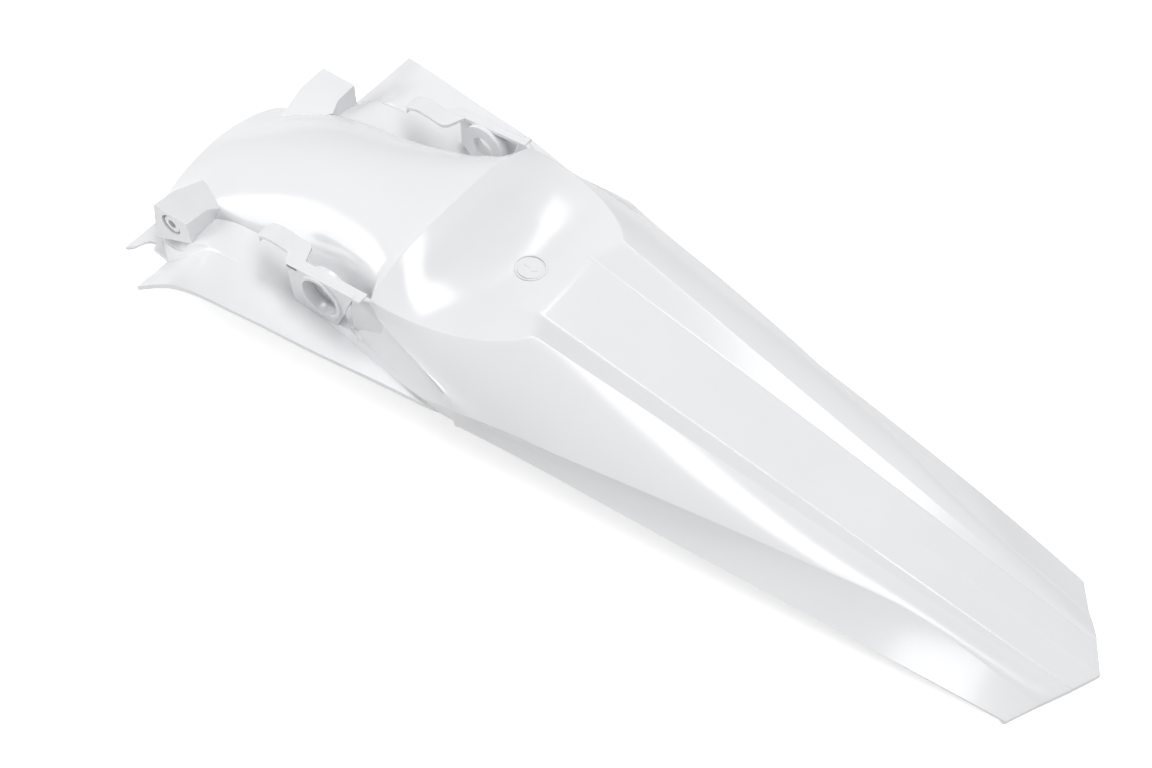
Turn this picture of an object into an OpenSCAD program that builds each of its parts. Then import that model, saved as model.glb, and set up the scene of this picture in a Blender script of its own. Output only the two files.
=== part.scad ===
// Rear fender of an off-road motorcycle: one injection-moulded shell.
// X runs rearward, Y to the right, Z up. The front is a wheel arch with two
// screw bosses and flared side flaps; the tail is a dished, ridged deck.
// Stations along the fender are measured from the seat line, where the tail
// shell stands proud of the arch, and the finished part is then centred.

/* [Shell] */
// Wall thickness of the moulding
wall = 2.6; // [2.2:0.1:3.2]
// Length of the tail, from the seat line to its tip
tail_len = 468; // [440:1:500]
// Length of the arch, from the seat line to its front rim
arch_len = 217; // [214:1:222]

/* [Wheel arch] */
// Half width of the arch at its front rim
arch_half = 70; // [68:0.5:72]
// Height of the crown over the ground at the front rim
rim_z = 31; // [29:0.5:34]
// Height of the crown at the seat line
seat_z = 97; // [94:0.5:100]
// Upward bow of the crown line between rim and seat line
arch_bow = 11.5; // [9:0.5:14]
// Height of the shelf beside the arch, under the cup plates
shelf_z = 47; // [45:0.5:49]

/* [Side flaps] */
// Half width over the flap tips
flap_half = 138; // [132:1:144]
// Height of the flap edge
flap_z = 53; // [51:0.5:55]
// Drop of the pointed flap tip below the flap edge
flap_droop = 11; // [6:0.5:14]

/* [Tail deck] */
// Half width at the seat line
seat_half = 82; // [80:0.5:84]
// Half width between the ridge lines where they straighten
ridge_half = 47; // [44:0.5:50]
// Half width between the ridge lines at the tail end
ridge_end_half = 20.5; // [17:0.5:24]
// Height of the ridge lines where they straighten
ridge_z = 90.5; // [88:0.5:94]
// Height of the ridge lines at the tail end
ridge_end_z = 10; // [9:0.5:14]
// Depth of the deck channel below the ridge lines at its front
deck_depth = 6; // [4:0.25:8]
// Lowest point of the dish behind the seat line
dish_z = 81; // [79:0.5:85]

/* [Skirt] */
// Half width over the rim at the joggle
rim_half = 100; // [98:0.5:103]
// Half width over the rim at the tail corner
tail_half = 55; // [50:0.5:60]
// Height of the turned-down lip at the tail end
lip_h = 3.6; // [2.5:0.1:5]

/* [Screw bosses] */
// Distance of the outer boss face from the centre plane
boss_half = 85; // [84:0.5:87]
// Length of a boss
boss_len = 34; // [32:0.5:36]
// Height of the boss tops over the ground
boss_z = 50; // [49:0.5:52]
// Diameter of the screw bore in a boss
boss_bore_d = 6.6; // [6:0.1:7.4]
// Outer diameter of the tube round that bore
boss_tube_d = 13; // [12:0.25:14.5]
// Depth of the ribbed recess round the tube
boss_recess = 8; // [6:0.5:9]

/* [Cup plates] */
// Distance of the outer plate face from the centre plane
plate_half = 88; // [87:0.25:89]
// Diameter of the screw-head cup
cup_d = 28; // [26:0.5:28.5]
// Depth of the cup below the plate face
cup_depth = 8.5; // [7:0.5:10]
// Diameter of the through hole in the cup floor
cup_hole_d = 16; // [13:0.5:18]
// Width of the hooked arm
arm_w = 13.4; // [11:0.2:15]
// Reach of the hooked arm in front of its plate
arm_reach = 33; // [29:0.5:36]

/* [Hidden] */

// Blends and a smooth curve through a few hand-set stations
function mix(a, b, t) = a + (b - a) * t;
function ease(t) = let (c = max(0, min(1, t))) c * c * (3 - 2 * c);
function gap(t, x, i = 0) = (i >= len(t) - 2 || x < t[i + 1][0]) ? i : gap(t, x, i + 1);
function rise(t, i) = (t[i + 1][1] - t[i][1]) / (t[i + 1][0] - t[i][0]);
function lean(t, i) =
    i == 0 ? rise(t, 0) :
    i == len(t) - 1 ? rise(t, i - 1) :
    (rise(t, i - 1) + rise(t, i)) / 2;
function curve(t, x) =
    let (i = gap(t, x), w = t[i + 1][0] - t[i][0], q = (x - t[i][0]) / w)
    mix(t[i][1], t[i + 1][1], q * q * (3 - 2 * q))
    + w * q * (1 - q) * ((1 - q) * lean(t, i) - q * lean(t, i + 1));

// Cells across one half of the skin. On the arch the last three groups are the
// shelf, the step wall and the flap; on the tail they run down the side.
deck_cells = 4;
strip_cells = 3;
flank_cells = 5;
shelf_cells = 2;
step_cells = 2;
flap_cells = 3;
ridge_col = deck_cells + strip_cells;
foot_col = ridge_col + flank_cells;
shelf_col = foot_col + shelf_cells;
valley_col = shelf_col + step_cells;
rim_col = valley_col + flap_cells;

// Rows along the arch, the dish and the deck
arch_rows = 17;
dish_rows = 11;
deck_rows = 12;

// Stations of the main lines, measured from the seat line
ledge_len = 9;
shelf_front_x = 11 - arch_len;
valley_front_x = 33 - arch_len;
flap_front_x = 63.5 - arch_len;
joggle_x = 78;
notch_len = 2;
dish_len = 88;
ridge_start_x = 98;
skirt_start_x = 140;
rim_start_x = 150;
chevron_x = tail_len - 9.7;
ridge_end_x = tail_len - 11;
skirt_end_x = tail_len - 21;
tail_corner_x = tail_len - 32;

// Arch: a row s runs from the front rim at 0 to the seat line at 1
shoulder_turn = 50;
function crown_x(s) = mix(-arch_len, -ledge_len, s);
function crown_z(s) = mix(rim_z, seat_z, s) + 4 * arch_bow * s * (1 - s);
function fullness(s) = curve([[0, 1.7], [0.3, 1.8], [0.75, 2.3], [1, 3.4]], s);
function foot_y(s) = curve([[0, arch_half], [0.28, 61], [0.75, 62], [0.9, 65], [1, 72]], s);
function foot_h(s) = curve([[0, wall], [0.13, 14], [0.28, shelf_z - 11], [0.4, shelf_z - 2.5],
    [0.55, shelf_z], [0.75, shelf_z], [0.92, shelf_z + 2], [1, shelf_z + 9]], s);
function barrel(s, turn) =
    let (p = 2 / fullness(s))
    [crown_x(s), foot_y(s) * pow(sin(turn), p),
     mix(foot_h(s), crown_z(s), pow(max(0, cos(turn)), p))];
function shelf_line(s) =
    [mix(shelf_front_x, 20, s),
     curve([[0, arch_half + 6], [0.05, 83], [0.12, 85], [0.64, 86], [0.85, 88], [1, 94]], s),
     curve([[0, wall], [0.05, 8], [0.14, 16], [0.2, shelf_z - 16.5], [0.26, shelf_z - 6],
         [0.34, shelf_z - 1], [0.64, shelf_z], [0.85, shelf_z + 2], [1, shelf_z + 6]], s)];
function valley_line(s) =
    [mix(valley_front_x, 54, s),
     curve([[0, 91], [0.5, 88.5], [0.68, 90], [0.8, 94.5], [0.93, 99.5], [1, 101.5]], s),
     curve([[0, wall], [0.1, 24], [0.2, shelf_z - 3.5], [0.3, shelf_z + 0.5], [0.5, shelf_z + 0.5],
         [0.68, shelf_z - 1], [0.8, shelf_z - 1.5], [0.93, shelf_z + 2], [1, shelf_z + 3.5]], s)];
function edge_line(s) =
    [mix(flap_front_x, joggle_x - notch_len, s),
     curve([[0, flap_half], [0.1, flap_half - 9], [0.33, flap_half - 17], [0.57, flap_half - 23],
         [0.86, rim_half + 3.5], [1, rim_half - 1.5]], s),
     curve([[0, flap_z - flap_droop], [0.1, flap_z - 1.5], [0.33, flap_z + 0.5], [0.57, flap_z],
         [0.86, 47], [1, 41.5]], s)];
// Corner of the pocket behind the cup plate, next to the step
pocket_bend = [-18, 4.5, -5];
function between(a, b, j, first, cells) = mix(a, b, (j - first) / cells);
function arch_point(s, j) =
    j <= ridge_col ? barrel(s, shoulder_turn * j / ridge_col) :
    j <= foot_col ? barrel(s, mix(shoulder_turn, 90, (j - ridge_col) / flank_cells)) :
    j <= shelf_col ? between(barrel(s, 90), shelf_line(s), j, foot_col, shelf_cells)
        + (j > foot_col && j < shelf_col ? ease(5 * s - 4) * pocket_bend : [0, 0, 0]) :
    j <= valley_col ? between(shelf_line(s), valley_line(s), j, shelf_col, step_cells) :
    between(valley_line(s), edge_line(s), j, valley_col, flap_cells);

// Tail: main lines for v along the dish and u along the deck
seat_corner_z = 85.5;
seat_crown_z = seat_z + 4;
side_cells = valley_col - ridge_col;
function line_x(x0, x1, x2, v, u) = u > 0 ? mix(x1, x2, u) : mix(x0, x1, v);
function ridge_y(v, u) =
    u > 0 ? mix(ridge_half, ridge_end_half, u) :
    mix(ridge_half, seat_half, pow(1 - pow(v, 2.2), 0.75));
function ridge_h(v, u) =
    u > 0 ? mix(ridge_z, ridge_end_z, u) : mix(seat_corner_z, ridge_z, 0.4 * v + 0.6 * pow(v, 6));
function channel(u) = deck_depth * pow(1 - u, 1.5) + 0.8;
function centre_h(v, u) =
    u > 0 ? ridge_h(v, u) - channel(u) + 0.4 :
    curve([[0, seat_crown_z], [0.12, seat_crown_z - 4], [0.3, mix(dish_z, seat_crown_z, 0.42)],
        [0.5, dish_z + 2.4], [0.68, dish_z], [0.85, dish_z + 1.4],
        [1, ridge_z - deck_depth - 0.4]], v);
function deck_y(v, u) = u > 0 ? mix(27.7, ridge_end_half - 2.5, pow(u, 1.2)) : mix(37, 27.7, v);
function crease_y(v, u) =
    u > 0 ? curve([[0, 89], [0.25, 73], [0.5, 55.5], [0.72, 40.5], [1, 36]], u) :
    curve([[0, rim_half + 1.5], [0.3, rim_half - 3], [0.7, rim_half - 8], [1, 89]], v);
function crease_h(v, u) =
    u > 0 ? curve([[0, 54.5], [0.25, 49.5], [0.5, 40.5], [0.72, 29], [1, 6]], u) :
    curve([[0, 57], [0.4, 56.5], [1, 54.5]], v);
function rim_y(v, u) =
    u > 0 ? mix(91.8, tail_half, 0.78 * u + 0.22 * u * u) : mix(rim_half + 1, 91.8, v);
function rim_h(v, u) =
    u > 0 ? mix(36, lip_h, 0.8 * u + 0.2 * pow(u, 4)) : mix(42, 36, pow(v, 1.4));
// Just behind the seat line the side drops steeply, runs flat and drops again,
// and its cells are gathered towards the seat corner
side_drop = 7.5;
function gathered(g, v) =
    mix(curve([[0, 0], [5 / 9, 1 / 9], [6 / 9, 0.16], [7 / 9, 0.45], [8 / 9, 8 / 9], [1, 1]], g),
        g, ease(2.2 * v));
function side_fold(g, v) =
    let (p = 1 / side_cells, k = pow(max(0, 1 - 2.6 * v), 2),
         fall = side_drop * (min(1, g / p) + max(0, g - 1 + p) / p))
    k * (2 * side_drop * g - fall);
function top_h(f, v, u) =
    let (q = deck_y(v, u) / ridge_y(v, u), c = centre_h(v, u), r = ridge_h(v, u),
         bowl = mix(c, r, pow(f, mix(3, 2, ease(v / 0.4)))),
         deck = f < q ? c : mix(c - 0.4, r, (f - q) / (1 - q)))
    mix(bowl, deck, u > 0 ? 1 : ease((v - 0.75) / 0.25));
function tail_point(v, u, j) =
    let (cx = line_x(0, dish_len, tail_len, v, u),
         dx = line_x(0, dish_len, chevron_x, v, u),
         rx = line_x(0, ridge_start_x, ridge_end_x, v, u),
         kx = line_x(joggle_x, skirt_start_x, skirt_end_x, v, u),
         ex = line_x(joggle_x, rim_start_x, tail_corner_x, v, u),
         dy = deck_y(v, u), ry = ridge_y(v, u), ky = crease_y(v, u), ey = rim_y(v, u),
         rz = ridge_h(v, u), kz = crease_h(v, u), ez = rim_h(v, u))
    j <= deck_cells ?
        let (g = j / deck_cells) [mix(cx, dx, g), dy * g, top_h(dy * g / ry, v, u)] :
    j <= ridge_col ?
        let (g = (j - deck_cells) / strip_cells, y = mix(dy, ry, g))
        [mix(dx, rx, g), y, top_h(y / ry, v, u)] :
    j <= valley_col ?
        let (g = gathered((j - ridge_col) / side_cells, u > 0 ? 1 : v),
             b = 4 * g * (1 - g) * mix(3 * v, 0.5, u),
             w = u > 0 ? 0 : side_fold(g, v))
        [mix(rx, kx, g), mix(ry, ky, g) + b * 0.5 - w * 0.2, mix(rz, kz, g) + b * 0.8 + w] :
        let (g = (j - valley_col) / flap_cells, b = 4 * g * (1 - g) * 1.5 * (1 - u))
        [mix(kx, ex, g), mix(ky, ey, g) + b, mix(kz, ez, g)];

// The outer skin as rows of points from the left edge to the right edge
function both(row) = concat(
    [for (j = [rim_col:-1:1]) [row[j][0], -row[j][1], row[j][2]]], row);
function tail_row(v, u, drop = 0) =
    [for (j = [0:rim_col]) tail_point(v, u, j) - [0, 0, drop]];
skin_rows = concat(
    [for (i = [0:arch_rows]) both([for (j = [0:rim_col]) arch_point(i / arch_rows, j)])],
    [for (i = [0:dish_rows]) both(tail_row(sin(90 * i / dish_rows), 0))],
    [for (i = [1:deck_rows]) both(tail_row(1, i / deck_rows))],
    [both(tail_row(1, 1, lip_h))]);

// A closed wall: the skin, and the same skin set in by the wall thickness
function unit(v) = v / max(norm(v), 0.000001);
function inward(g, i, j) =
    let (m = len(g) - 1, n = len(g[0]) - 1,
         along = g[min(i + 1, m)][j] - g[max(i - 1, 0)][j],
         across = g[i][min(j + 1, n)] - g[i][max(j - 1, 0)])
    unit(cross(across, along));
module wall_of(g, t) {
    m = len(g);
    n = len(g[0]);
    inner = [for (i = [0:m - 1]) [for (j = [0:n - 1]) g[i][j] + inward(g, i, j) * t]];
    points = concat([for (r = g) each r], [for (r = inner) each r]);
    k = m * n;
    skin = [for (i = [0:m - 2], j = [0:n - 2])
        let (a = i * n + j, b = a + 1, c = a + n, d = c + 1) each [[a, b, d], [a, d, c]]];
    lining = [for (f = skin) [f[0] + k, f[2] + k, f[1] + k]];
    ends = [for (j = [0:n - 2]) let (a = j, c = (m - 1) * n + j)
        each [[a, a + k, a + k + 1], [a, a + k + 1, a + 1],
              [c, c + k + 1, c + k], [c, c + 1, c + k + 1]]];
    sides = [for (i = [0:m - 2]) let (a = i * n, c = i * n + n - 1)
        each [[a, a + n + k, a + k], [a, a + n, a + n + k],
              [c, c + k, c + n + k], [c, c + n + k, c + n]]];
    polyhedron(points, concat(skin, lining, ends, sides));
}

// Margin by which cutting bodies reach past the part
clear = 40;

// The skin, trimmed so that the part stands on the ground
module skin() {
    difference() {
        wall_of(skin_rows, wall);
        translate([-arch_len - clear, -flap_half - clear, -clear])
            cube([arch_len + tail_len + 2 * clear, 2 * (flap_half + clear), clear]);
    }
}

// A body whose four corners are given at its foot and at its top
module block(foot, top) {
    polyhedron(concat(foot, top), [[0, 1, 2], [0, 2, 3], [6, 5, 4], [7, 6, 4],
        [5, 1, 0], [4, 5, 0], [6, 2, 1], [5, 6, 1], [7, 3, 2], [6, 7, 2], [4, 0, 3], [7, 4, 3]]);
}

// Pointed lug on the ground beside the front rim
lug_half = 100;
module lug() {
    linear_extrude(wall)
        translate([-arch_len, 0])
            polygon([[0, arch_half - 6], [0, lug_half], [2, lug_half - 0.6], [5, lug_half - 4],
                [6.5, lug_half - 8.5], [8, lug_half - 12], [10.5, lug_half - 14.8],
                [15, lug_half - 16], [16.5, lug_half - 10.8],
                [valley_front_x + arch_len, lug_half - 9], [40, lug_half - 16],
                [30, arch_half]]);
}

// Screw boss: a box on the flank of the arch, with a fairing up to the crown
boss_x = 40 - arch_len;
boss_axis_z = 38.5;
boss_foot_front = 13;
boss_foot_rear = 31;
boss_inner = 64;
boss_slope = 7.7;
tube_len = 16;
module boss_box(inset = 0, drop = 0) {
    x0 = boss_x - boss_len / 2 + inset;
    x1 = boss_x + boss_len / 2 - inset;
    y0 = boss_inner + inset * 0.6;
    y1 = boss_half - inset;
    t = boss_z - inset;
    block([[x0 - 3, y0 - 4, boss_foot_front - drop], [x1, y0 - 4, boss_foot_rear - drop],
           [x1, y1, boss_foot_rear - drop], [x0 - 4, y1, boss_foot_front - drop]],
          [[x0 - 1, y0, t - boss_slope], [x1 + 1, y0 + 2, t - 0.5], [x1, y1, t], [x0 + 4, y1, t]]);
}
module boss_fairing(inset = 0, drop = 0) {
    x0 = boss_x - boss_len / 2 + inset;
    x1 = boss_x + boss_len / 2 - inset;
    t = boss_z - inset;
    block([[x0 - 3, boss_inner - 6, boss_foot_front - drop],
           [x1, boss_inner - 6, boss_foot_rear - drop],
           [x1, boss_inner + 6, boss_foot_rear - drop],
           [x0 - 3, boss_inner + 6, boss_foot_front - drop]],
          [[x0 + 2, boss_inner - 27 + 3 * inset, t - 15.7], [x1 + 2, boss_inner - 6.5 + inset, t - 6.5],
           [x1 + 1, boss_inner + 2, t - 0.5], [x0 - 1, boss_inner, t - boss_slope]]);
}
module tube(d, from, to) {
    translate([boss_x, from, boss_axis_z])
        rotate([-90, 0, 0])
            cylinder(h = to - from, d = d, $fn = 48);
}
// Room inside the boss, open to the wheel side
module boss_room() {
    intersection() {
        union() {
            boss_box(wall, clear);
            boss_fairing(wall, clear);
        }
        translate([boss_x - boss_len, 0, -clear])
            cube([2 * boss_len, boss_half - boss_recess - wall, clear + boss_z]);
    }
}
module boss() {
    depth = boss_half - boss_recess;
    difference() {
        union() {
            difference() {
                union() {
                    boss_box();
                    boss_fairing();
                }
                boss_room();
                translate([boss_x - boss_len / 2 + 5, depth, boss_axis_z - 8.5])
                    cube([boss_len - 10, boss_half, 16.5]);
            }
            tube(boss_tube_d, boss_half - tube_len, boss_half - 1);
            for (a = [45:90:315])
                translate([boss_x, depth - 0.5, boss_axis_z])
                    rotate([0, a, 0])
                        translate([0, 0, -0.8])
                            cube([9, boss_recess - 1.5, 1.6]);
        }
        tube(boss_bore_d, boss_half - tube_len - 1, boss_half + 1);
    }
}

// Upright plate with a screw-head cup and a strip along its top
plate_x = -63;
plate_len = 55;
plate_front_top = 81.5;
plate_rear_top = 87;
strip_w = 8;
cup_x = -37;
cup_z = 67;
module cup(d, from, to) {
    translate([cup_x, from, cup_z])
        rotate([-90, 0, 0])
            cylinder(h = to - from, d = d, $fn = 64);
}
module upright(depth) {
    translate([0, plate_half, 0])
        rotate([90, 0, 0])
            linear_extrude(depth)
                children();
}
module plate() {
    difference() {
        union() {
            upright(wall)
                polygon([[plate_x + 1.5, shelf_z - 3], [plate_x, plate_front_top],
                    [plate_x + plate_len, plate_rear_top], [plate_x + plate_len - 19, shelf_z - 2]]);
            upright(strip_w)
                polygon([[plate_x, plate_front_top - wall], [plate_x, plate_front_top],
                    [plate_x + plate_len + 5, plate_rear_top],
                    [plate_x + plate_len + 5, plate_rear_top - wall]]);
            cup(cup_d + 2 * wall, plate_half - cup_depth - wall, plate_half);
        }
        cup(cup_d, plate_half - cup_depth, plate_half + 1);
        cup(cup_hole_d, 0, plate_half + 1);
    }
}

// Hooked arm reaching forward from the front end of the strip
module arm() {
    tip = plate_x - arm_reach;
    inner = plate_half - strip_w - arm_w;
    top = plate_front_top;
    intersection() {
        upright(strip_w + arm_w)
            polygon([[tip, top - 7.5], [tip, top - 3], [tip + 5, top - 0.6], [tip + 11, top + 1.2],
                [tip + 20, top + 0.8], [plate_x - 3, top - 0.6], [plate_x + 2, top],
                [plate_x + 9, top + 0.7], [plate_x + 9, top - wall + 0.7],
                [plate_x - 3, top - 0.6 - wall], [tip + 20, top + 0.8 - wall],
                [tip + 11.5, top + 1.2 - wall], [tip + 5.5, top - 0.8 - wall],
                [tip + 2.6, top - 4.8], [tip + 2.6, top - 7.5]]);
        linear_extrude(plate_rear_top + clear)
            polygon([[tip, inner + 2], [tip + 2, inner], [plate_x + 1, inner], [plate_x + 4, inner + 2],
                [plate_x + 9, inner + arm_w], [plate_x + 9, plate_half], [plate_x, plate_half],
                [plate_x - 6, inner + arm_w], [tip + 2, inner + arm_w], [tip, inner + arm_w - 2]]);
    }
}

// Mould-date dial on the dish: a raised ring with a plain arrow
dial_x = 61;
module dial() {
    translate([dial_x, 0, dish_z - 1.5]) {
        difference() {
            cylinder(h = 2.5, d = 21, $fn = 48);
            translate([0, 0, 1])
                cylinder(h = 3, d = 19, $fn = 48);
        }
        cylinder(h = 2.2, d = 17, $fn = 48);
        linear_extrude(2.6)
            polygon([[-5, -0.6], [2, -0.6], [2, -2.4], [5.5, 0], [2, 2.4], [2, 0.6], [-5, 0.6]]);
    }
}

module one_side() {
    lug();
    boss();
    plate();
    arm();
}

module rear_fender() {
    color("white")
    translate([(arch_len - tail_len) / 2, 0, 0]) {
        difference() {
            skin();
            boss_room();
            mirror([0, 1, 0])
                boss_room();
        }
        one_side();
        mirror([0, 1, 0])
            one_side();
        dial();
    }
}

rear_fender();
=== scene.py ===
# Dresses the rear fender: a fine smooth skin, crisp moulded features, glossy white plastic.
import math

import bmesh
import bpy
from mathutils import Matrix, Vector


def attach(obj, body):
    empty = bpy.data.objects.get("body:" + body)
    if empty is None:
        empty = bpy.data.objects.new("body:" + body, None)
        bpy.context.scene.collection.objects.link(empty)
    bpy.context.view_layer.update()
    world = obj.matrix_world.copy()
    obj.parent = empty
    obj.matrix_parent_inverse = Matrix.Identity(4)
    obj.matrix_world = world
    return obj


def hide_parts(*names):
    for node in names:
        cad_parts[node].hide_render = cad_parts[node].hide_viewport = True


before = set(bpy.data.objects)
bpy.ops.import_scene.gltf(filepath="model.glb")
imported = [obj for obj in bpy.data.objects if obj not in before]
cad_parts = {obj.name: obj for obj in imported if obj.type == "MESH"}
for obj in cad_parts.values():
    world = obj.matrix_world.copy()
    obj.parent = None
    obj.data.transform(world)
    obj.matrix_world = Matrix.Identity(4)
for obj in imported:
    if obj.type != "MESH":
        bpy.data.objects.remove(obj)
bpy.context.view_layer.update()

# Sizes of the moulding in millimetres, the same as in the part's source
WALL = 2.6
TAIL_LEN = 468
ARCH_LEN = 217
ARCH_HALF = 70
RIM_Z = 31
SEAT_Z = 97
ARCH_BOW = 11.5
SHELF_Z = 47
FLAP_HALF = 138
FLAP_Z = 53
FLAP_DROOP = 11
SEAT_HALF = 82
RIDGE_HALF = 47
RIDGE_END_HALF = 20.5
RIDGE_Z = 90.5
RIDGE_END_Z = 10
DECK_DEPTH = 6
DISH_Z = 81
RIM_HALF = 100
TAIL_HALF = 55
LIP_H = 3.6
BOSS_HALF = 85
BOSS_LEN = 34
BOSS_Z = 50
BOSS_BORE_D = 6.6
BOSS_TUBE_D = 13
BOSS_RECESS = 8
PLATE_HALF = 88
CUP_D = 28
CUP_DEPTH = 8.5
CUP_HOLE_D = 16
ARM_W = 13.4
ARM_REACH = 33

# Stations of the main lines, measured from the seat line
LEDGE_LEN = 9
SHELF_FRONT_X = 11 - ARCH_LEN
SHELF_REAR_X = 20
VALLEY_FRONT_X = 33 - ARCH_LEN
VALLEY_REAR_X = 54
FLAP_FRONT_X = 63.5 - ARCH_LEN
JOGGLE_X = 78
NOTCH_LEN = 2
DISH_LEN = 88
RIDGE_START_X = 98
SKIRT_START_X = 140
RIM_START_X = 150
CHEVRON_X = TAIL_LEN - 9.7
RIDGE_END_X = TAIL_LEN - 11
SKIRT_END_X = TAIL_LEN - 21
TAIL_CORNER_X = TAIL_LEN - 32
CENTRING = (ARCH_LEN - TAIL_LEN) / 2

# Columns of the main lines across one half of the skin
DECK_COL, RIDGE_COL, FOOT_COL, SHELF_COL, VALLEY_COL, RIM_COL = 4, 7, 12, 14, 16, 19
SIDE_CELLS = VALLEY_COL - RIDGE_COL


def mix(a, b, t):
    return a + (b - a) * t


def mix3(a, b, t):
    return tuple(mix(p, q, t) for p, q in zip(a, b))


def ease(t):
    c = max(0.0, min(1.0, t))
    return c * c * (3 - 2 * c)


def hump(t):
    """Rises from 0 to 1 in the middle and falls back to 0."""
    return 4 * t * (1 - t)


def part_way(j, first, last):
    return (j - first) / (last - first)


def curve(table, x):
    """Smooth curve through a few given stations."""
    last = len(table) - 2
    i = 0
    while i < last and x >= table[i + 1][0]:
        i += 1

    def rise(k):
        return (table[k + 1][1] - table[k][1]) / (table[k + 1][0] - table[k][0])

    def lean(k):
        if k == 0:
            return rise(0)
        if k == len(table) - 1:
            return rise(k - 1)
        return (rise(k - 1) + rise(k)) / 2

    width = table[i + 1][0] - table[i][0]
    q = (x - table[i][0]) / width
    bend = width * q * (1 - q) * ((1 - q) * lean(i) - q * lean(i + 1))
    return mix(table[i][1], table[i + 1][1], q * q * (3 - 2 * q)) + bend


# Arch: a row s runs from the front rim at 0 to the seat line at 1, and a turn across it
# from the crown at 0 over the shoulder to the foot
SHOULDER_TURN = 50
FOOT_TURN = 90
# Corner of the pocket behind the cup plate, in the last fifth of the arch
POCKET_BEND = (-18, 4.5, -5)


def crown_z(s):
    return mix(RIM_Z, SEAT_Z, s) + ARCH_BOW * hump(s)


def fullness(s):
    """Exponent of the cross-section: 2 is an ellipse, and more is squarer."""
    return curve([[0, 1.7], [0.3, 1.8], [0.75, 2.3], [1, 3.4]], s)


def foot_y(s):
    return curve([[0, ARCH_HALF], [0.28, 61], [0.75, 62], [0.9, 65], [1, 72]], s)


def foot_z(s):
    return curve([[0, WALL], [0.13, 14], [0.28, SHELF_Z - 11], [0.4, SHELF_Z - 2.5],
                  [0.55, SHELF_Z], [0.75, SHELF_Z], [0.92, SHELF_Z + 2], [1, SHELF_Z + 9]], s)


def barrel(s, turn):
    p = 2 / fullness(s)
    t = math.radians(turn)
    return (mix(-ARCH_LEN, -LEDGE_LEN, s),
            foot_y(s) * math.sin(t) ** p,
            mix(foot_z(s), crown_z(s), max(0.0, math.cos(t)) ** p))


def shelf_line(s):
    return (mix(SHELF_FRONT_X, SHELF_REAR_X, s),
            curve([[0, ARCH_HALF + 6], [0.05, 83], [0.12, 85], [0.64, 86], [0.85, 88],
                   [1, 94]], s),
            curve([[0, WALL], [0.05, 8], [0.14, 16], [0.2, SHELF_Z - 16.5],
                   [0.26, SHELF_Z - 6], [0.34, SHELF_Z - 1], [0.64, SHELF_Z],
                   [0.85, SHELF_Z + 2], [1, SHELF_Z + 6]], s))


def valley_line(s):
    return (mix(VALLEY_FRONT_X, VALLEY_REAR_X, s),
            curve([[0, 91], [0.5, 88.5], [0.68, 90], [0.8, 94.5], [0.93, 99.5],
                   [1, 101.5]], s),
            curve([[0, WALL], [0.1, 24], [0.2, SHELF_Z - 3.5], [0.3, SHELF_Z + 0.5],
                   [0.5, SHELF_Z + 0.5], [0.68, SHELF_Z - 1], [0.8, SHELF_Z - 1.5],
                   [0.93, SHELF_Z + 2], [1, SHELF_Z + 3.5]], s))


def edge_line(s):
    return (mix(FLAP_FRONT_X, JOGGLE_X - NOTCH_LEN, s),
            curve([[0, FLAP_HALF], [0.1, FLAP_HALF - 9], [0.33, FLAP_HALF - 17],
                   [0.57, FLAP_HALF - 23], [0.86, RIM_HALF + 3.5], [1, RIM_HALF - 1.5]], s),
            curve([[0, FLAP_Z - FLAP_DROOP], [0.1, FLAP_Z - 1.5], [0.33, FLAP_Z + 0.5],
                   [0.57, FLAP_Z], [0.86, 47], [1, 41.5]], s))


def arch_point(s, j):
    if j <= RIDGE_COL:
        return barrel(s, SHOULDER_TURN * j / RIDGE_COL)
    if j <= FOOT_COL:
        return barrel(s, mix(SHOULDER_TURN, FOOT_TURN, part_way(j, RIDGE_COL, FOOT_COL)))
    if j <= SHELF_COL:
        g = part_way(j, FOOT_COL, SHELF_COL)
        k = ease(5 * s - 4) * (1 - abs(2 * g - 1))
        x, y, z = mix3(barrel(s, FOOT_TURN), shelf_line(s), g)
        return (x + k * POCKET_BEND[0], y + k * POCKET_BEND[1], z + k * POCKET_BEND[2])
    if j <= VALLEY_COL:
        return mix3(shelf_line(s), valley_line(s), part_way(j, SHELF_COL, VALLEY_COL))
    return mix3(valley_line(s), edge_line(s), part_way(j, VALLEY_COL, RIM_COL))


# Tail: v runs along the dish from the seat line at 0 to the deck at 1,
# and u along the deck to the tail end at 1
SEAT_CORNER_Z = 85.5
SEAT_CROWN_Z = SEAT_Z + 4
DECK_FRONT_HALF = 37
DECK_HALF = 27.7
DECK_END_INSET = 2.5
DECK_END_DEPTH = 0.8
DECK_CROWN = 0.4
CREASE_HALF = 89
CREASE_Z = 54.5
RIM_MID_HALF = 91.8
RIM_MID_Z = 36
RIM_FRONT_Z = 42
# Just behind the seat line the side drops steeply, runs flat and drops again
SIDE_DROP = 7.5
SIDE_BULGE_Y = 0.5
SIDE_BULGE_Z = 0.8
SKIRT_HOLLOW = 2.5


def line_x(x0, x1, x2, v, u):
    return mix(x1, x2, u) if u > 0 else mix(x0, x1, v)


def ridge_y(v, u):
    if u > 0:
        return mix(RIDGE_HALF, RIDGE_END_HALF, u)
    return mix(RIDGE_HALF, SEAT_HALF, (1 - v ** 2.2) ** 0.75)


def ridge_z(v, u):
    if u > 0:
        return mix(RIDGE_Z, RIDGE_END_Z, u)
    return mix(SEAT_CORNER_Z, RIDGE_Z, 0.4 * v + 0.6 * v ** 6)


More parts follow.
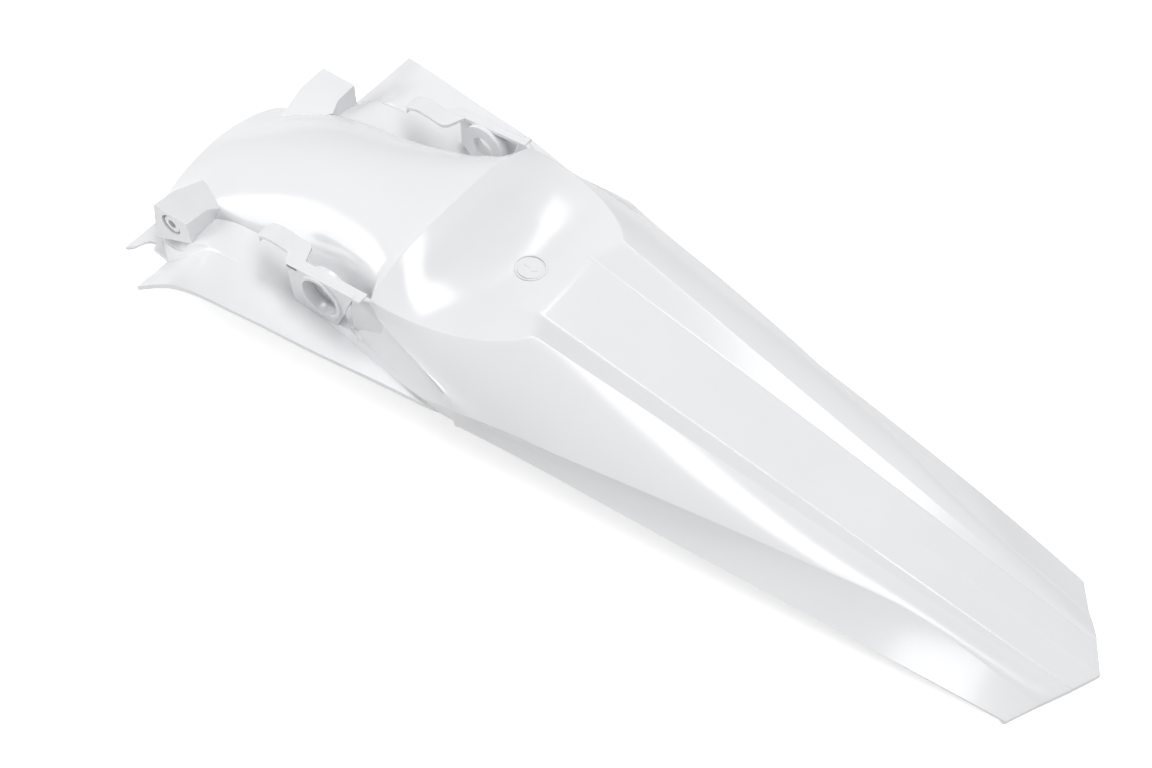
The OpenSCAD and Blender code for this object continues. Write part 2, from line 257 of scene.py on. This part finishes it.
def centre_z(v, u):
    if u > 0:
        return ridge_z(v, u) - (DECK_DEPTH * (1 - u) ** 1.5 + DECK_END_DEPTH) + DECK_CROWN
    deck_start_z = RIDGE_Z - DECK_DEPTH - (DECK_END_DEPTH - DECK_CROWN)
    return curve([[0, SEAT_CROWN_Z], [0.12, SEAT_CROWN_Z - 4],
                  [0.3, mix(DISH_Z, SEAT_CROWN_Z, 0.42)], [0.5, DISH_Z + 2.4],
                  [0.68, DISH_Z], [0.85, DISH_Z + 1.4], [1, deck_start_z]], v)


def deck_y(v, u):
    if u > 0:
        return mix(DECK_HALF, RIDGE_END_HALF - DECK_END_INSET, u ** 1.2)
    return mix(DECK_FRONT_HALF, DECK_HALF, v)


def crease_y(v, u):
    if u > 0:
        return curve([[0, CREASE_HALF], [0.25, 73], [0.5, 55.5], [0.72, 40.5], [1, 36]], u)
    return curve([[0, RIM_HALF + 1.5], [0.3, RIM_HALF - 3], [0.7, RIM_HALF - 8],
                  [1, CREASE_HALF]], v)


def crease_z(v, u):
    if u > 0:
        return curve([[0, CREASE_Z], [0.25, 49.5], [0.5, 40.5], [0.72, 29], [1, 6]], u)
    return curve([[0, 57], [0.4, 56.5], [1, CREASE_Z]], v)


def rim_y(v, u):
    if u > 0:
        return mix(RIM_MID_HALF, TAIL_HALF, 0.78 * u + 0.22 * u * u)
    return mix(RIM_HALF + 1, RIM_MID_HALF, v)


def rim_z(v, u):
    if u > 0:
        return mix(RIM_MID_Z, LIP_H, 0.8 * u + 0.2 * u ** 4)
    return mix(RIM_FRONT_Z, RIM_MID_Z, v ** 1.4)


def gathered(g, v):
    """Gathers the columns of the side towards the seat corner, less and less behind it."""
    n = SIDE_CELLS
    table = [[0, 0], [5 / n, 1 / n], [6 / n, 0.16], [7 / n, 0.45], [8 / n, 8 / n], [1, 1]]
    return mix(curve(table, g), g, ease(2.2 * v))


def side_fold(g, v):
    """How far the side stands over its straight line, fading out behind the seat line."""
    p = 1 / SIDE_CELLS
    fall = SIDE_DROP * (min(1, g / p) + max(0, g - 1 + p) / p)
    return max(0, 1 - 2.6 * v) ** 2 * (2 * SIDE_DROP * g - fall)


def top_z(f, v, u):
    """Height at the share f of the way from the middle of the dish or deck to its ridge.

    The dish is steep beside the seat corners and rounder from 0.4 of its length on,
    and its last quarter turns into the flat deck.
    """
    q = deck_y(v, u) / ridge_y(v, u)
    c = centre_z(v, u)
    r = ridge_z(v, u)
    bowl = mix(c, r, f ** mix(3, 2, ease(v / 0.4)))
    deck = c if f < q else mix(c - DECK_CROWN, r, (f - q) / (1 - q))
    return mix(bowl, deck, 1 if u > 0 else ease((v - 0.75) / 0.25))


def tail_point(v, u, j):
    centre_x = line_x(0, DISH_LEN, TAIL_LEN, v, u)
    deck_x = line_x(0, DISH_LEN, CHEVRON_X, v, u)
    ridge_x = line_x(0, RIDGE_START_X, RIDGE_END_X, v, u)
    crease_x = line_x(JOGGLE_X, SKIRT_START_X, SKIRT_END_X, v, u)
    dy, ry, ky = deck_y(v, u), ridge_y(v, u), crease_y(v, u)
    if j <= DECK_COL:
        g = part_way(j, 0, DECK_COL)
        return (mix(centre_x, deck_x, g), dy * g, top_z(dy * g / ry, v, u))
    if j <= RIDGE_COL:
        g = part_way(j, DECK_COL, RIDGE_COL)
        y = mix(dy, ry, g)
        return (mix(deck_x, ridge_x, g), y, top_z(y / ry, v, u))
    if j <= VALLEY_COL:
        g = gathered(part_way(j, RIDGE_COL, VALLEY_COL), 1 if u > 0 else v)
        bulge = hump(g) * mix(3 * v, 0.5, u)
        fold = 0 if u > 0 else side_fold(g, v)
        return (mix(ridge_x, crease_x, g),
                mix(ry, ky, g) + bulge * SIDE_BULGE_Y - fold * 0.2,
                mix(ridge_z(v, u), crease_z(v, u), g) + bulge * SIDE_BULGE_Z + fold)
    g = part_way(j, VALLEY_COL, RIM_COL)
    rim_x = line_x(JOGGLE_X, RIM_START_X, TAIL_CORNER_X, v, u)
    hollow = hump(g) * SKIRT_HOLLOW * (1 - u) * ease(3 * v)
    return (mix(crease_x, rim_x, g), mix(ky, rim_y(v, u), g) - hollow,
            mix(crease_z(v, u), rim_z(v, u), g))


# The fine skin: rows from the front rim to the tail end, each from the left edge to the right
ARCH_ROWS = 84
ARCH_GATHER = 0.5
DISH_ROWS = 56
DISH_GATHER = 0.9
DECK_ROWS = 96
END_ROWS = 3
HALF_COLS = 84
# The step at the seat line: where its rows lie, and how far it is set in below the tail
BAND_STOPS = (0.06, 0.2, 0.4, 0.6, 0.8, 0.93)
LIP_STEP = 1.8
# Blending of the sides where the dish meets the deck
SIDE_PASSES = 40
SIDE_REACH = 9


def steps(count):
    return [i / count for i in range(count + 1)]


def crowded(t):
    """Positions from 0 to 1 that lie closer together at both ends."""
    return t - 0.8 * math.sin(math.tau * t) / math.tau


def half_columns():
    """Column positions, spread by the true width of each strip of the skin."""
    stops = ((0, 0), (DECK_COL, 14), (RIDGE_COL, 26), (FOOT_COL, 44),
             (SHELF_COL, 54), (VALLEY_COL, 66), (RIM_COL, HALF_COLS))
    cols = []
    for (j0, n0), (j1, n1) in zip(stops, stops[1:]):
        cols += [mix(j0, j1, crowded(k / (n1 - n0))) for k in range(n1 - n0)]
    return cols + [RIM_COL]


COLUMNS = half_columns()


def arch_half(s):
    return [arch_point(s, j) for j in COLUMNS]


def tail_half(v, u):
    return [tail_point(v, u, j) for j in COLUMNS]


def sunk(p, j, depth):
    """A point of the step in front of the tail, set in so that the tail stands proud."""
    side = ease((j - RIDGE_COL + 1) / 3)
    return (p[0], p[1] - 0.8 * depth * side, p[2] - depth * (1 - 0.5 * side))


def step_half(t):
    """A row of the step, at t of the way from the arch's last row to the tail's first."""
    return [sunk(mix3(a, b, t), j, LIP_STEP * t)
            for a, b, j in zip(arch_half(1), tail_half(0, 0), COLUMNS)]


def both_sides(half):
    return [(x, -y, z) for x, y, z in half[:0:-1]] + half


def blend_sides(rows, meet):
    """Eases the sides from the dish into the deck, clear of the ridge and the edges.

    Each pass moves a point part of the way to the middle of its two neighbours. The
    middle column of a row has the number HALF_COLS.
    """
    shares = [0.5 * ease(j - RIDGE_COL - 0.3) * ease((RIM_COL - j) / 1.5) for j in COLUMNS]
    places = [(HALF_COLS + way * k, share) for k, share in enumerate(shares) if share > 0
              for way in (1, -1)]
    for _ in range(SIDE_PASSES):
        old = [list(row) for row in rows]
        for i in range(meet - SIDE_REACH, meet + SIDE_REACH + 1):
            for n, share in places:
                between = mix3(old[i - 1][n], old[i + 1][n], 0.5)
                rows[i][n] = mix3(old[i][n], between, share)


def skin_rows():
    halves = [arch_half(mix(t, math.sin(math.pi / 2 * t), ARCH_GATHER))
              for t in steps(ARCH_ROWS)]
    halves += [step_half(t) for t in BAND_STOPS]
    halves += [tail_half(mix(t, 1 - math.cos(math.pi / 2 * t), DISH_GATHER), 0)
               for t in steps(DISH_ROWS)]
    meet = len(halves) - 1
    halves += [tail_half(1, u) for u in steps(DECK_ROWS)[1:]]
    rows = [both_sides(half) for half in halves]
    blend_sides(rows, meet)
    end = rows[-1]
    for i in range(1, END_ROWS + 1):
        rows.append([(x, y, z - LIP_H * i / END_ROWS) for x, y, z in end])
    return rows


def softened(rows):
    """Rounds every crease a little by averaging each point with its neighbours."""
    new = [list(row) for row in rows]
    for i in range(1, len(rows) - 1):
        for j in range(1, len(rows[0]) - 1):
            near = zip(rows[i][j], rows[i - 1][j], rows[i + 1][j], rows[i][j - 1], rows[i][j + 1])
            new[i][j] = tuple((2 * p + 0.5 * (a + b + c + d)) / 4 for p, a, b, c, d in near)
    return new


def set_in(rows, i, j):
    """The skin's point, moved inwards by the wall thickness."""
    last_row, last_col = len(rows) - 1, len(rows[0]) - 1
    along = Vector(rows[min(i + 1, last_row)][j]) - Vector(rows[max(i - 1, 0)][j])
    across = Vector(rows[i][min(j + 1, last_col)]) - Vector(rows[i][max(j - 1, 0)])
    return tuple(Vector(rows[i][j]) + across.cross(along).normalized() * WALL)


def to_metres(p):
    return ((p[0] + CENTRING) / 1000, p[1] / 1000, p[2] / 1000)


def link(obj):
    bpy.context.scene.collection.objects.link(obj)
    return obj


def finish_mesh(bm, name):
    bmesh.ops.recalc_face_normals(bm, faces=bm.faces)
    mesh = bpy.data.meshes.new(name)
    bm.to_mesh(mesh)
    bm.free()
    return link(bpy.data.objects.new(name, mesh))


def skin_object(name):
    """A closed wall: the skin, the same skin set in, and a strip round their edges."""
    rows = softened(skin_rows())
    m, n = len(rows), len(rows[0])
    lining = [[set_in(rows, i, j) for j in range(n)] for i in range(m)]
    bm = bmesh.new()
    outer, inner = [[[bm.verts.new(to_metres((x, y, max(z, 0)))) for x, y, z in row]
                     for row in side] for side in (rows, lining)]
    for grid, way in ((outer, 1), (inner, -1)):
        for i in range(m - 1):
            for j in range(n - 1):
                quad = [grid[i][j], grid[i + 1][j], grid[i + 1][j + 1], grid[i][j + 1]]
                bm.faces.new(quad[::way])
    edge = [(i, 0) for i in range(m)] + [(m - 1, j) for j in range(1, n)]
    edge += [(i, n - 1) for i in range(m - 2, -1, -1)]
    edge += [(0, j) for j in range(n - 2, -1, -1)]
    for (a, b), (c, d) in zip(edge, edge[1:]):
        bm.faces.new((outer[a][b], outer[c][d], inner[c][d], inner[a][b]))
    return finish_mesh(bm, name)


# Solids for the moulded features, in millimetres from the seat line
def solid(name, rings):
    """A closed body through rings of points, each with the same count."""
    bm = bmesh.new()
    loops = [[bm.verts.new(to_metres(p)) for p in ring] for ring in rings]
    for lower, upper in zip(loops, loops[1:]):
        for k in range(len(lower)):
            n = (k + 1) % len(lower)
            bm.faces.new((lower[k], lower[n], upper[n], upper[k]))
    bm.faces.new(loops[0][::-1])
    bm.faces.new(loops[-1])
    return finish_mesh(bm, name)


def circle(a, b, d, sides):
    turns = [math.tau * k / sides for k in range(sides)]
    return [(a + d / 2 * math.cos(t), b + d / 2 * math.sin(t)) for t in turns]


def side_plate(name, outline, y0, y1):
    return solid(name, [[(x, y, z) for x, z in outline] for y in (y0, y1)])


def flat_plate(name, outline, z0, z1):
    return solid(name, [[(x, y, z) for x, y in outline] for z in (z0, z1)])


def box(name, low, high):
    (x0, y0, z0), (x1, y1, z1) = low, high
    return flat_plate(name, [(x0, y0), (x1, y0), (x1, y1), (x0, y1)], z0, z1)


def combine(obj, tool, how):
    mod = obj.modifiers.new("join", "BOOLEAN")
    mod.operation = how
    mod.solver = "EXACT"
    mod.object = tool
    depsgraph = bpy.context.evaluated_depsgraph_get()
    mesh = bpy.data.meshes.new_from_object(obj.evaluated_get(depsgraph))
    obj.modifiers.clear()
    old = obj.data
    obj.data = mesh
    bpy.data.meshes.remove(old)
    bpy.data.objects.remove(tool)
    return obj


def join(obj, tool):
    return combine(obj, tool, "UNION")


def cut(obj, tool):
    return combine(obj, tool, "DIFFERENCE")


def overlap(obj, tool):
    return combine(obj, tool, "INTERSECT")


def round_edges(obj, width, segments=3, angle=35):
    bevel = obj.modifiers.new("edges", "BEVEL")
    bevel.width = width / 1000
    bevel.segments = segments
    bevel.limit_method = "ANGLE"
    bevel.angle_limit = math.radians(angle)
    bevel.harden_normals = False
    return obj


def mirrored(obj, name):
    mesh = obj.data.copy()
    for v in mesh.vertices:
        v.co.y = -v.co.y
    mesh.flip_normals()
    twin = link(bpy.data.objects.new(name, mesh))
    bevel = obj.modifiers["edges"]
    return round_edges(twin, bevel.width * 1000, bevel.segments, math.degrees(bevel.angle_limit))


# Margins by which bodies that cut or meet reach past a face
CLEAR = 40
OVER = 2
TOUCH = 1

# Screw boss: a block with a sloped fairing on its inner side
BOSS_X = 40 - ARCH_LEN
BOSS_AXIS_Z = 38.5
BOSS_FOOT_FRONT = 13
BOSS_FOOT_REAR = 31
BOSS_INNER = 64
BOSS_SLOPE = 7.7
FAIRING_SLOPE = 15.7
TUBE_LEN = 16
RECESS_D = 16.6
RECESS_OVER = 5
RIB_COUNT = 4
RIB_W = 1.6
RIB_ROOT = 0.5
# How far the ends of the tube and the ribs lie below the face
TUBE_SINK = 1
RIB_SINK = 2


def boss_block(name, inset=0.0, drop=0.0):
    """Block and fairing, set in by inset on all sides and made longer at the foot by drop."""
    front = BOSS_X - BOSS_LEN / 2 + inset
    rear = BOSS_X + BOSS_LEN / 2 - inset
    inner, outer = BOSS_INNER + inset * 0.6, BOSS_HALF - inset
    top = BOSS_Z - inset
    low_front, low_rear = BOSS_FOOT_FRONT - drop, BOSS_FOOT_REAR - drop
    block = [[(front - 3, inner - 4, low_front), (rear, inner - 4, low_rear),
              (rear, outer, low_rear), (front - 4, outer, low_front)],
             [(front - 1, inner, top - BOSS_SLOPE), (rear + 1, inner + 2, top - 0.5),
              (rear, outer, top), (front + 4, outer, top)]]
    fairing = [[(front - 3, BOSS_INNER - 6, low_front), (rear, BOSS_INNER - 6, low_rear),
                (rear, BOSS_INNER + 6, low_rear), (front - 3, BOSS_INNER + 6, low_front)],
               [(front + 2, BOSS_INNER - 27 + 3 * inset, top - FAIRING_SLOPE),
                (rear + 2, BOSS_INNER - 6.5 + inset, top - 6.5),
                (rear + 1, BOSS_INNER + 2, top - 0.5),
                (front - 1, BOSS_INNER, top - BOSS_SLOPE)]]
    return join(solid(name, block), solid("fairing", fairing))


def boss_cavity(name):
    """Room inside the boss, open to the wheel side."""
    slab = box("slab", (BOSS_X - BOSS_LEN, 0, -CLEAR),
               (BOSS_X + BOSS_LEN, BOSS_HALF - BOSS_RECESS - WALL, BOSS_Z))
    return overlap(boss_block(name, WALL, CLEAR), slab)


def boss_rod(name, y0, y1, d):
    return side_plate(name, circle(BOSS_X, BOSS_AXIS_Z, d, 64), y0, y1)


def boss_rib(name, turn, y0, y1):
    a = math.radians(turn)
    c, s = math.cos(a), math.sin(a)
    reach, half = RECESS_D / 2 + TOUCH, RIB_W / 2
    ends = [(0, -half), (reach, -half), (reach, half), (0, half)]
    ring = [(BOSS_X + p * c - q * s, BOSS_AXIS_Z + p * s + q * c) for p, q in ends]
    return side_plate(name, ring, y0, y1)


def boss(name):
    recess_y = BOSS_HALF - BOSS_RECESS
    tube_y = BOSS_HALF - TUBE_LEN
    body = cut(boss_block(name), boss_cavity("cavity"))
    cut(body, boss_rod("recess", recess_y, BOSS_HALF + RECESS_OVER, RECESS_D))
    join(body, boss_rod("tube", tube_y, BOSS_HALF - TUBE_SINK, BOSS_TUBE_D))
    for k in range(RIB_COUNT):
        turn = 360 * (k + 0.5) / RIB_COUNT
        join(body, boss_rib("rib", turn, recess_y - RIB_ROOT, BOSS_HALF - RIB_SINK))
    cut(body, boss_rod("bore", tube_y - TOUCH, BOSS_HALF + TOUCH, BOSS_BORE_D))
    return round_edges(body, 1)


# Upright plate with a screw-head cup and a strip along its top
PLATE_X = -63
PLATE_LEN = 55
PLATE_END = PLATE_X + PLATE_LEN
PLATE_FRONT_TOP = 81.5
PLATE_REAR_TOP = 87
STRIP_W = 8
CUP_X = -37
CUP_Z = 67
CUP_LIP = 1
HOLE_START = 60


def cup_rod(name, y0, y1, d, sides=96):
    return side_plate(name, circle(CUP_X, CUP_Z, d, sides), y0, y1)


def plate(name):
    outline = [(PLATE_X + 1.5, SHELF_Z - 3), (PLATE_X, PLATE_FRONT_TOP),
               (PLATE_END, PLATE_REAR_TOP), (PLATE_END - 19, SHELF_Z - 2)]
    strip = [(PLATE_X, PLATE_FRONT_TOP - WALL), (PLATE_X, PLATE_FRONT_TOP),
             (PLATE_END + 5, PLATE_REAR_TOP), (PLATE_END + 5, PLATE_REAR_TOP - WALL)]
    well_y = PLATE_HALF - CUP_DEPTH
    body = side_plate(name, outline, PLATE_HALF - WALL, PLATE_HALF)
    join(body, side_plate("strip", strip, PLATE_HALF - STRIP_W, PLATE_HALF))
    join(body, cup_rod("shell", well_y - WALL, PLATE_HALF + CUP_LIP, CUP_D + 2 * WALL))
    cut(body, cup_rod("well", well_y, PLATE_HALF + OVER, CUP_D))
    cut(body, cup_rod("hole", HOLE_START, PLATE_HALF + OVER, CUP_HOLE_D, 64))
    return round_edges(body, 0.9)


def seat_corner(name):
    """Upright corner that closes the gap between the plate's strip and the tail."""
    end = PLATE_END
    face = PLATE_HALF - 0.3
    # Each ring holds the front and the rear on the inner side, then the same on the outer side
    foot = [(end - 6, 83, 53), (end + 26, 86.2, 64.5), (end + 28, 87, 64),
            (end - 6, face - 2, 53)]
    waist = [(end - 4, 78, 72), (end + 18, 83.3, 73.5), (end + 19.5, 85, 74.2),
             (end - 4, face, 72)]
    top = [(end - 1, 80.5, 86.1), (end + 8.6, 80.5, 85.7), (end + 9, 82.4, 85.5),
           (end - 1, face, 86.1)]
    return round_edges(solid(name, [foot, waist, top]), 0.7)


def arm(name):
    """Hooked arm: its side view, trimmed to its plan."""
    tip = PLATE_X - ARM_REACH
    root = PLATE_X + 9
    inner = PLATE_HALF - STRIP_W - ARM_W
    outer = inner + ARM_W
    top = PLATE_FRONT_TOP
    under = top - WALL
    profile = [(tip, top - 7.5), (tip, top - 3), (tip + 5, top - 0.6), (tip + 11, top + 1.2),
               (tip + 20, top + 0.8), (PLATE_X - 3, top - 0.6), (PLATE_X + 2, top),
               (root, top + 0.7), (root, under + 0.7), (PLATE_X - 3, under - 0.6),
               (tip + 20, under + 0.8), (tip + 11.5, under + 1.2), (tip + 5.5, under - 0.8),
               (tip + 2.6, top - 4.8), (tip + 2.6, top - 7.5)]
    plan = [(tip, inner + 2), (tip + 2, inner), (PLATE_X + 1, inner), (PLATE_X + 4, inner + 2),
            (root, outer), (root, PLATE_HALF), (PLATE_X, PLATE_HALF), (PLATE_X - 6, outer),
            (tip + 2, outer), (tip, outer - 2)]
    body = side_plate(name, profile, inner - TOUCH, PLATE_HALF + TOUCH)
    overlap(body, flat_plate("plan", plan, 0, PLATE_REAR_TOP + CLEAR))
    return round_edges(body, 0.6)


# Pointed lug on the ground beside the front rim
LUG_HALF = 100


def lug(name):
    outline = [(0, ARCH_HALF - 6), (0, LUG_HALF), (2, LUG_HALF - 0.6), (5, LUG_HALF - 4),
               (6.5, LUG_HALF - 8.5), (8, LUG_HALF - 12), (10.5, LUG_HALF - 14.8),
               (15, LUG_HALF - 16), (16.5, LUG_HALF - 10.8),
               (VALLEY_FRONT_X + ARCH_LEN, LUG_HALF - 9), (40, LUG_HALF - 16), (30, ARCH_HALF)]
    body = flat_plate(name, [(x - ARCH_LEN, y) for x, y in outline], 0, WALL)
    return round_edges(body, 0.5)


# Mould-date dial on the dish: a ring, a raised middle and an arrow over it
DIAL_X = 61
DIAL_BASE = DISH_Z - 1.1
DIAL_D = 21
DIAL_RING_D = 19
DIAL_MIDDLE_D = 17


def disc(name, d, low, high):
    return flat_plate(name, circle(DIAL_X, 0, d, 72), DIAL_BASE + low, DIAL_BASE + high)


def dial(name):
    arrow = [(-5, -0.6), (2, -0.6), (2, -2.4), (5.5, 0), (2, 2.4), (2, 0.6), (-5, 0.6)]
    body = disc(name, DIAL_D, 0, 2.5)
    cut(body, disc("well", DIAL_RING_D, 1, 4))
    join(body, disc("middle", DIAL_MIDDLE_D, 0, 2.2))
    join(body, flat_plate("arrow", [(DIAL_X + x, y) for x, y in arrow],
                          DIAL_BASE, DIAL_BASE + 2.6))
    return round_edges(body, 0.15, segments=2)


# Materials
WHITE = (1, 1, 1, 1)


def nodes_of(name):
    mat = bpy.data.materials.new(name)
    mat.use_nodes = True
    tree = mat.node_tree
    return mat, tree, tree.nodes["Principled BSDF"]


def set_inputs(node, values):
    for title, value in values.items():
        node.inputs[title].default_value = value


def ramp(tree, source, low, high):
    node = tree.nodes.new("ShaderNodeMapRange")
    set_inputs(node, {"To Min": low, "To Max": high})
    tree.links.new(source, node.inputs["Value"])
    return node.outputs["Result"]


def noise(tree, scale, detail=3.0):
    coords = tree.nodes.new("ShaderNodeTexCoord")
    node = tree.nodes.new("ShaderNodeTexNoise")
    set_inputs(node, {"Scale": scale, "Detail": detail})
    tree.links.new(coords.outputs["Object"], node.inputs["Vector"])
    return node.outputs["Fac"]


def white_plastic():
    """Glossy white plastic with faint flow tone, uneven gloss and a fine moulded skin."""
    mat, tree, bsdf = nodes_of("gloss_white_plastic")
    tone = tree.nodes.new("ShaderNodeMix")
    tone.data_type = "RGBA"
    set_inputs(tone, {"A": (0.80, 0.805, 0.82, 1), "B": (0.86, 0.865, 0.875, 1)})
    tree.links.new(noise(tree, 9.0), tone.inputs["Factor"])
    tree.links.new(tone.outputs["Result"], bsdf.inputs["Base Color"])
    tree.links.new(ramp(tree, noise(tree, 60.0), 0.13, 0.19), bsdf.inputs["Roughness"])
    set_inputs(bsdf, {"IOR": 1.49, "Subsurface Weight": 0.08, "Subsurface Scale": 0.5,
                      "Subsurface Radius": (0.004, 0.004, 0.004)})
    bump = tree.nodes.new("ShaderNodeBump")
    set_inputs(bump, {"Strength": 0.12, "Distance": 0.0002})
    tree.links.new(noise(tree, 420.0, 4.0), bump.inputs["Height"])
    tree.links.new(bump.outputs["Normal"], bsdf.inputs["Normal"])
    return mat


def floor_material():
    """White floor that keeps the object's soft shadow."""
    mat, tree, bsdf = nodes_of("studio_floor")
    set_inputs(bsdf, {"Base Color": (0.92, 0.92, 0.92, 1), "Roughness": 0.6,
                      "Specular IOR Level": 0.1, "Emission Color": WHITE})
    path = tree.nodes.new("ShaderNodeLightPath")
    glow = tree.nodes.new("ShaderNodeMath")
    glow.operation = "MULTIPLY"
    glow.inputs[1].default_value = FLOOR_GLOW
    tree.links.new(path.outputs["Is Camera Ray"], glow.inputs[0])
    tree.links.new(glow.outputs[0], bsdf.inputs["Emission Strength"])
    return mat


# Assembly: the skin with its boss cavities open, then the dial and the features in pairs
skin = skin_object("fender_skin")
for side in (1, -1):
    room = boss_cavity("room")
    room.scale.y = side
    bpy.context.view_layer.update()
    cut(skin, room)
round_edges(skin, 0.5, segments=2, angle=45)
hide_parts("rear_fender")

pieces = [skin, dial("mould_dial")]
for maker, title in ((boss, "boss"), (plate, "cup_plate"), (arm, "hooked_arm"),
                     (seat_corner, "seat_corner"), (lug, "front_lug")):
    right = maker(title + "_right")
    pieces += [right, mirrored(right, title + "_left")]
plastic = white_plastic()
for piece in pieces:
    piece.data.materials.clear()
    piece.data.materials.append(plastic)
    piece.data.shade_smooth()
    piece.data.set_sharp_from_angle(angle=math.radians(40))
    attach(piece, "root")

# Studio, in metres and degrees: the floor lies a hair below the lugs, so that no faces meet
FLOOR_SIZE = 8
FLOOR_Z = -0.0002
FLOOR_GLOW = 0.58
SKY_GLOW = 0.26
LAMPS = (("overhead", (0.3, 0.05, 1.6), (0, 0, -41), (2.3, 0.5), 23.5),
         ("front", (-1.4, -0.64, 0.48), (73, 0, -64), (1.1, 0.88), 10.5))
CAMERA_AT = (0.2722, -0.4595, 0.7488)
CAMERA_TURN = (35.785, -1.735, 35.412)
CAMERA_LENS = 43.75
CAMERA_SENSOR = 36


def place(name, data, at, turn):
    obj = link(bpy.data.objects.new(name, data))
    obj.location = at
    obj.rotation_euler = [math.radians(a) for a in turn]
    return obj


bpy.ops.mesh.primitive_plane_add(size=FLOOR_SIZE, location=(0, 0, FLOOR_Z))
floor = bpy.context.object
floor.name = "floor"
floor.data.materials.append(floor_material())

for name, at, turn, size, watts in LAMPS:
    light = bpy.data.lights.new(name, "AREA")
    light.shape = "RECTANGLE"
    light.size, light.size_y = size
    light.energy = watts
    place(name, light, at, turn)

world = bpy.data.worlds.new("studio")
bpy.context.scene.world = world
world.use_nodes = True
set_inputs(world.node_tree.nodes["Background"], {"Color": WHITE, "Strength": SKY_GLOW})

view = bpy.data.cameras.new("camera")
view.sensor_width = CAMERA_SENSOR
view.lens = CAMERA_LENS
bpy.context.scene.camera = place("camera", view, CAMERA_AT, CAMERA_TURN)
bpy.context.scene.view_settings.view_transform = "Standard"
